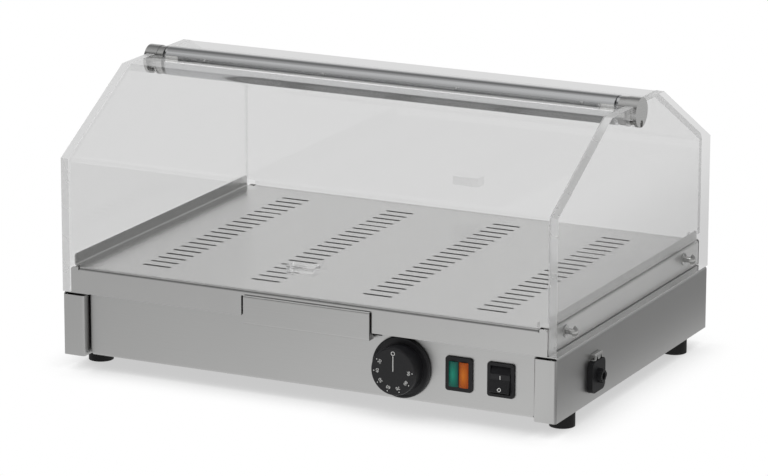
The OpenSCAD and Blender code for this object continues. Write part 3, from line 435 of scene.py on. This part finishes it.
def clear_acrylic(name, face_axis, tint, edge_tint, sheen, satin_share, trapped=0.0):
    """face_axis is "X", "YZ" or "Z": the directions in which the clear faces look.

    sheen scales the faces' reflection, satin_share is how matt the saw left the edges, and
    trapped is how much light the edges throw back inside.
    """
    made, tree, surface = new_material(name)
    path = add_node(tree, "ShaderNodeLightPath")
    place = add_node(tree, "ShaderNodeTexCoord")
    geometry = add_node(tree, "ShaderNodeNewGeometry")
    normal = add_node(tree, "ShaderNodeSeparateXYZ", Vector=place.outputs["Normal"])
    lean = add_node(tree, "ShaderNodeMath", {"operation": "ABSOLUTE"}, out=0,
                    in0=normal.outputs["Z" if face_axis == "Z" else "X"])
    is_edge = add_node(tree, "ShaderNodeMath",
                       {"operation": "GREATER_THAN" if face_axis == "YZ" else "LESS_THAN"}, out=0,
                       in0=lean, in1=0.7)
    outside = add_node(tree, "ShaderNodeMath", {"operation": "SUBTRACT"}, out=0, in0=1.0,
                       in1=geometry.outputs["Backfacing"])

    # A face is clear, with a reflection that grows at glancing angles and faint wipe marks in it.
    wipe_marks = add_node(tree, "ShaderNodeTexNoise", out=0, Vector=place.outputs["Object"],
                          Scale=35.0, Detail=3.0)
    smeared = add_node(tree, "ShaderNodeMapRange", out=0, Value=wipe_marks, To_Min=0.0, To_Max=0.03,
                       **NOISE_RANGE)
    fresnel = add_node(tree, "ShaderNodeFresnel", out=0, IOR=ACRYLIC_INDEX)
    gloss = add_node(tree, "ShaderNodeMath", {"operation": "MULTIPLY"}, out=0, in0=outside, in1=fresnel)
    both_faces = add_node(tree, "ShaderNodeMath", {"operation": "MULTIPLY"}, out=0, in0=gloss, in1=sheen)
    clear = add_node(tree, "ShaderNodeBsdfTransparent", out=0, Color=linear(tint))
    shine = add_node(tree, "ShaderNodeBsdfGlossy", out=0, Color=linear("#FFFFFF"), Roughness=smeared)
    face = add_node(tree, "ShaderNodeMixShader", out=0, Fac=both_faces, in1=clear, in2=shine)

    # A cut edge bends light, and is partly matt from the saw.
    saw_marks = add_node(tree, "ShaderNodeMapRange", out=0, Value=wipe_marks,
                         To_Min=0.5 * satin_share, To_Max=0.8 * satin_share, **NOISE_RANGE)
    cut = add_node(tree, "ShaderNodeBsdfGlass", out=0, Color=linear(edge_tint), IOR=ACRYLIC_INDEX,
                   Roughness=saw_marks)
    sawn = add_node(tree, "ShaderNodeBsdfDiffuse", out=0, Color=linear("#E6E6E6"), Roughness=0.3)
    satin = add_node(tree, "ShaderNodeMixShader", out=0, Fac=satin_share, in1=cut, in2=sawn)
    # From inside, light meets a lower edge at a shallow angle and is thrown back, as by a mirror,
    # so what stands behind the sheet seems to run right down to its edge. A normal met from
    # inside is turned round, so a lower edge's looks up. The other edges only show more white.
    looks_down = add_node(tree, "ShaderNodeMath", {"operation": "GREATER_THAN"}, out=0,
                          in0=normal.outputs["Z"], in1=0.7)
    thrown_back = add_node(tree, "ShaderNodeMath", {"operation": "MAXIMUM"}, out=0,
                           in0=looks_down, in1=trapped)
    mirror = add_node(tree, "ShaderNodeBsdfGlossy", out=0, Color=linear("#F4F4F4"), Roughness=0.02)
    inside = add_node(tree, "ShaderNodeMixShader", out=0, Fac=thrown_back, in1=clear, in2=mirror)
    edge = add_node(tree, "ShaderNodeMixShader", out=0, Fac=outside, in1=inside, in2=satin)
    sheet = add_node(tree, "ShaderNodeMixShader", out=0, Fac=is_edge, in1=face, in2=edge)

    # The sharp corners are scraped off by half a millimetre. The scraped strip is white, partly the
    # scraped plastic and partly a painted highlight: a bright line before the steel, a grey one before the
    # white sweep.
    rounded = add_node(tree, "ShaderNodeBevel", {"samples": 4}, out=0, Radius=ARRIS)
    turned = add_node(tree, "ShaderNodeVectorMath", {"operation": "DOT_PRODUCT"}, out="Value",
                      in0=rounded, in1=geometry.outputs["Normal"])
    at_corner = add_node(tree, "ShaderNodeMapRange", out=0, Value=turned, From_Min=0.75,
                         From_Max=0.97, To_Min=1.0, To_Max=0.0)
    line = add_node(tree, "ShaderNodeMath", {"operation": "MULTIPLY"}, out=0, in0=outside, in1=at_corner)
    arris_and_highlight = add_node(tree, "ShaderNodeMixShader", out=0, Fac=0.7, in1=clear, in2=sawn)
    sheet = add_node(tree, "ShaderNodeMixShader", out=0, Fac=line, in1=sheet, in2=arris_and_highlight)

    # Light passes through to what stands behind, so the hood casts hardly any shadow.
    acrylic = add_node(tree, "ShaderNodeMixShader", out=0, Fac=path.outputs["Is Shadow Ray"],
                       in1=sheet, in2=clear)
    tree.links.new(acrylic, surface)
    return made


side_acrylic = clear_acrylic("clear_cast_acrylic_8_mm", "X", "#FBFBFB", "#E8E8E8", 1.7, 0.4)
flap_acrylic = clear_acrylic("clear_cast_acrylic_6_mm", "YZ", "#FBFBFB", "#E8E8E8", 1.3, 0.4)
handle_acrylic = clear_acrylic("polished_acrylic_block", "Z", "#FBFBFB", "#F8F8F8", 1.7, 0.08, 0.9)
# The rear handle stands before the white sweep, so the light trapped in it is as white.
pale_handle_acrylic = clear_acrylic("polished_acrylic_block_before_white", "Z", "#FBFBFB", "#FDFDFD",
                                    1.0, 0.05)
print("acrylic index:", ACRYLIC_INDEX)

# %% [markdown]
# ## Moulded plastics and rubber
# The knob, switch and bezels are injection-moulded ABS. The tool leaves a fine grain that
# breaks up reflections. The feet are matt moulded rubber, rougher still.

# %% Plastics


def moulded(name, dark, light, roughness, texture_mm, relief_mm):
    """Plastic or ceramic with the mould's grain, of a given size and depth."""
    made, tree, surface = new_material(name)
    place = add_node(tree, "ShaderNodeTexCoord", out="Object")
    texture = add_node(tree, "ShaderNodeTexNoise", out=0, Vector=place, Scale=1 / (texture_mm * MM),
                       Detail=2.0)
    tone = add_node(tree, "ShaderNodeMapRange", out=0, Value=texture, To_Min=0.0, To_Max=1.0,
                    **NOISE_RANGE)
    colour = add_node(tree, "ShaderNodeMix", MIX, out=2, in0=tone, in6=linear(dark), in7=linear(light))
    grainy = add_node(tree, "ShaderNodeMapRange", out=0, Value=texture, To_Min=roughness,
                      To_Max=roughness + 0.08, **NOISE_RANGE)
    relief = add_node(tree, "ShaderNodeBump", out=0, Strength=0.3, Distance=relief_mm * MM,
                      Height=texture)
    plastic = add_node(tree, "ShaderNodeBsdfPrincipled", out=0, Base_Color=colour, IOR=1.54,
                       Specular_IOR_Level=0.3, Roughness=grainy, Normal=relief)
    tree.links.new(plastic, surface)
    return made


black_abs = moulded("black_abs", "#1B1B1D", "#222224", 0.34, 0.8, 0.02)
black_matt_abs = moulded("black_matt_abs", "#1C1C1E", "#242426", 0.48, 0.8, 0.03)
foot_rubber = moulded("black_rubber", "#171717", "#202020", 0.62, 1.5, 0.05)
steatite = moulded("white_steatite", "#DAD6CC", "#E8E4DA", 0.45, 1.2, 0.02)
print("plastics:", black_abs.name, black_matt_abs.name, foot_rubber.name)

# %% [markdown]
# ## Lamp lenses
# The lenses are tinted polycarbonate over a small neon lamp. They are off, yet they look
# brighter in the middle, where the diffuser behind is closest to the surface.

# %% Lamp lenses


def lens_plastic(name, rim, middle, node):
    """Tinted plastic that is brighter in the lens's middle than at its rim."""
    made, tree, surface = new_material(name)
    low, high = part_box(node)
    centre = [(a + b) / 2 for a, b in zip(low, high)]
    half = [(b - a) / 2 for a, b in zip(low, high)]
    place = add_node(tree, "ShaderNodeTexCoord", out="Object")
    local = add_node(tree, "ShaderNodeMapping", {"vector_type": "POINT"}, out=0, Vector=place,
                     Location=[-c / h for c, h in zip(centre, half)], Scale=[1 / h for h in half])
    flat = add_node(tree, "ShaderNodeVectorMath", {"operation": "MULTIPLY"}, out=0, in0=local,
                    in1=(1.0, 0.0, 1.0))
    reach = add_node(tree, "ShaderNodeVectorMath", {"operation": "LENGTH"}, out="Value", in0=flat)
    near_rim = add_node(tree, "ShaderNodeMapRange", out=0, Value=reach, From_Min=0.1, From_Max=1.1)
    colour = add_node(tree, "ShaderNodeMix", MIX, out=2, in0=near_rim,
                      in6=linear(middle), in7=linear(rim))
    ribs = add_node(tree, "ShaderNodeTexWave", {"bands_direction": "Z"}, out="Fac", Vector=place,
                    Scale=330.0, Distortion=0.4)
    relief = add_node(tree, "ShaderNodeBump", out=0, Strength=0.25, Distance=0.05 * MM, Height=ribs)
    plastic = add_node(tree, "ShaderNodeBsdfPrincipled", out=0, Base_Color=colour, IOR=1.58,
                       Roughness=0.22, Specular_IOR_Level=0.2, Normal=relief)
    tree.links.new(plastic, surface)
    return made


green_lens = lens_plastic("green_polycarbonate", "#0F5B50", "#1C957C", "lamp_lens_green")
orange_lens = lens_plastic("orange_polycarbonate", "#B24E08", "#DE7A1C", "lamp_lens_orange")
print("lenses:", green_lens.name, orange_lens.name)

# %% [markdown]
# ## Dressing the CAD parts
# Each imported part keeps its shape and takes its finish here.

# %% Assign finishes
FINISHES = {
    steel_across: ["front_panel", "rear_panel", "water_drawer_front"],
    steel_upright: ["side_panel_left", "side_panel_right"],
    deck_steel: ["deck", "heat_shield", "bottom_plate", "heater_clips", "water_drawer_tray",
                 "drawer_runners"],
    bracket_steel_painted_lighter: ["glass_bracket_left", "glass_bracket_right"],
    rail_aluminium: ["upper_rail", "rear_hinge_plates"],
    rail_aluminium_painted_top: ["lower_rail"],
    cap_nickel: ["end_cap_left", "end_cap_right", "glass_spacers"],
    zinc: ["foot_screws", "thermostat_body", "thermostat_spindle", "glass_screws", "glass_nuts",
           "rail_bolts", "hinge_pins", "end_cap_screws", "gland_clamp"],
    copper: ["thermostat_bulb"],
    element_sheath: ["heating_element"],
    side_acrylic: ["side_glass_left", "side_glass_right"],
    flap_acrylic: ["front_flap", "rear_flap"],
    handle_acrylic: ["front_handle"],
    pale_handle_acrylic: ["rear_handle"],
    black_abs: ["thermostat_knob", "switch_rocker"],
    black_matt_abs: ["lamp_bezel", "switch_housing", "cable_gland"],
    foot_rubber: ["foot_front_left", "foot_front_right", "foot_rear_left", "foot_rear_right"],
    steatite: ["heater_terminals", "terminal_block"],
    green_lens: ["lamp_lens_green"],
    orange_lens: ["lamp_lens_orange"],
}
for finish, names in FINISHES.items():
    for name in names:
        for slot in nodes[name].material_slots:
            slot.material = finish
dressed = {n for names in FINISHES.values() for n in names}
print("dressed:", len(dressed), "undressed:", sorted(set(nodes) - dressed))

# %% [markdown]
# ## White ink
# The dial and the rocker are printed with a thick white ink that stands a tenth of a millimetre
# proud. Each figure is a text curve, laid on the face and given that thickness.

# %% Ink and dial marks
INK = 0.1 * MM
INK_SPREAD = 0.03 * MM
# A figure stands lower than the size of its type, by this share.
TYPE_PER_FIGURE = 1.38


def white_ink():
    """Pad-printed ink with tiny pores."""
    made, tree, surface = new_material("white_pad_printed_ink")
    place = add_node(tree, "ShaderNodeTexCoord", out="Object")
    pores = add_node(tree, "ShaderNodeTexNoise", out=0, Vector=place, Scale=1 / (0.6 * MM), Detail=1.0)
    tone = add_node(tree, "ShaderNodeMapRange", out=0, Value=pores, To_Min=0.0, To_Max=1.0,
                    **NOISE_RANGE)
    colour = add_node(tree, "ShaderNodeMix", MIX, out=2, in0=tone,
                      in6=linear("#D2D2D0"), in7=linear("#E6E6E4"))
    paint = add_node(tree, "ShaderNodeBsdfPrincipled", out=0, Base_Color=colour, IOR=1.5, Roughness=0.5)
    tree.links.new(paint, surface)
    return made


ink = white_ink()
knob_low, knob_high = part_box("thermostat_knob")
KNOB = Vector(((knob_low[0] + knob_high[0]) / 2, knob_low[1], (knob_low[2] + knob_high[2]) / 2))
# Local x runs to the right, local y up, and local z out of the face.
FACING_FRONT = Matrix(((1, 0, 0), (0, 0, -1), (0, 1, 0))).to_4x4()


def lay_on(piece, origin, right_mm, up_mm, turn=0.0, tilt=0.0):
    """Puts a flat piece on a forward-facing surface, turned in its plane."""
    piece.matrix_world = (Matrix.Translation(origin) @ Matrix.Rotation(tilt, 4, "X") @ FACING_FRONT
                          @ Matrix.Translation((right_mm * MM, up_mm * MM, 0))
                          @ Matrix.Rotation(turn, 4, "Z"))


def ink_figure(name, text, height_mm):
    """Printed figures of a given height, centred on their place."""
    data = bpy.data.curves.new(name, "FONT")
    data.body = text
    data.size = height_mm * TYPE_PER_FIGURE * MM
    data.align_x = "CENTER"
    data.align_y = "CENTER"
    data.extrude = INK / 2
    data.offset = INK_SPREAD
    data.materials.append(ink)
    made = bpy.data.objects.new(name, data)
    scene.collection.objects.link(made)
    return made


def ink_patch(name, outlines):
    """A printed shape from one or more closed outlines in mm; inner outlines are holes."""
    data = bpy.data.curves.new(name, "CURVE")
    data.dimensions = "2D"
    data.fill_mode = "BOTH"
    data.extrude = INK / 2
    for outline in outlines:
        spline = data.splines.new("POLY")
        spline.points.add(len(outline) - 1)
        for point, (x, y) in zip(spline.points, outline):
            point.co = (x * MM, y * MM, 0, 1)
        spline.use_cyclic_u = True
    data.materials.append(ink)
    made = bpy.data.objects.new(name, data)
    scene.collection.objects.link(made)
    return made


def ring_outline(radius, count=32):
    turns = [2 * math.pi * i / count for i in range(count)]
    return [(radius * math.cos(turn), radius * math.sin(turn)) for turn in turns]


def bar_outline(width, height):
    x, y = width / 2, height / 2
    return [(-x, -y), (x, -y), (x, y), (-x, y)]


# Degrees from the right, counter-clockwise, as printed.
DIAL_ANGLES = {"30": 148.0, "40": 182.5, "50": 217.0, "60": 253.0, "70": 289.0, "80": 325.5, "90": 2.0}
FIGURE_HEIGHT = 3.1
FIGURE_CIRCLE = 15.6
DOT_CIRCLE = 19.4
DOT_RADIUS = 0.55
OFF_RING_UP = 17.3
OFF_RING = (2.0, 1.35)
OFF_LINE_UP = 7.6
OFF_LINE = (0.8, 14.6)
marks = []
for figure, angle in DIAL_ANGLES.items():
    a = math.radians(angle)
    number = ink_figure("dial_" + figure, figure, FIGURE_HEIGHT)
    lay_on(number, KNOB, FIGURE_CIRCLE * math.cos(a), FIGURE_CIRCLE * math.sin(a), a - math.pi / 2)
    dot = ink_patch("dial_dot_" + figure, [ring_outline(DOT_RADIUS, 16)])
    lay_on(dot, KNOB, DOT_CIRCLE * math.cos(a), DOT_CIRCLE * math.sin(a))
    marks += [number, dot]
off_ring = ink_patch("dial_off_ring", [ring_outline(radius) for radius in OFF_RING])
lay_on(off_ring, KNOB, 0, OFF_RING_UP)
off_line = ink_patch("dial_off_line", [bar_outline(*OFF_LINE)])
lay_on(off_line, KNOB, 0, OFF_LINE_UP)
marks += [off_ring, off_line]
for mark in marks:
    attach(mark, "thermostat_dial")
print("dial marks:", len(marks))

# %% [markdown]
# ## Rocker marks
# The rocker rests with its upper end pressed in. Its face is two flat facets that meet just
# above the pivot: the upper one stands upright and carries the stroke, and the lower one leans
# out by 13 degrees and carries the ring.

# %% Rocker marks
rocker_low, rocker_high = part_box("switch_rocker")
PIVOT_UP = 47.0
LOWER_LEAN = math.radians(12.94)
STROKE_Y, STROKE_UP = -174.35, 2.7
STROKE = (0.8, 3.6)
RING_Y, RING_UP = -176.38, -8.2
RING = (1.9, 1.15)
centre_x = (rocker_low[0] + rocker_high[0]) / 2
stroke = ink_patch("rocker_stroke", [bar_outline(*STROKE)])
lay_on(stroke, Vector((centre_x, STROKE_Y * MM, PIVOT_UP * MM)), 0, STROKE_UP)
ring = ink_patch("rocker_ring", [ring_outline(radius) for radius in RING])
lay_on(ring, Vector((centre_x, RING_Y * MM, (PIVOT_UP + RING_UP) * MM)), 0, 0, tilt=-LOWER_LEAN)
for mark in (stroke, ring):
    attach(mark, "power_switch")
print("rocker marks: 2")

# %% [markdown]
# ## Finishing

# %% Finish
print("sizes written")
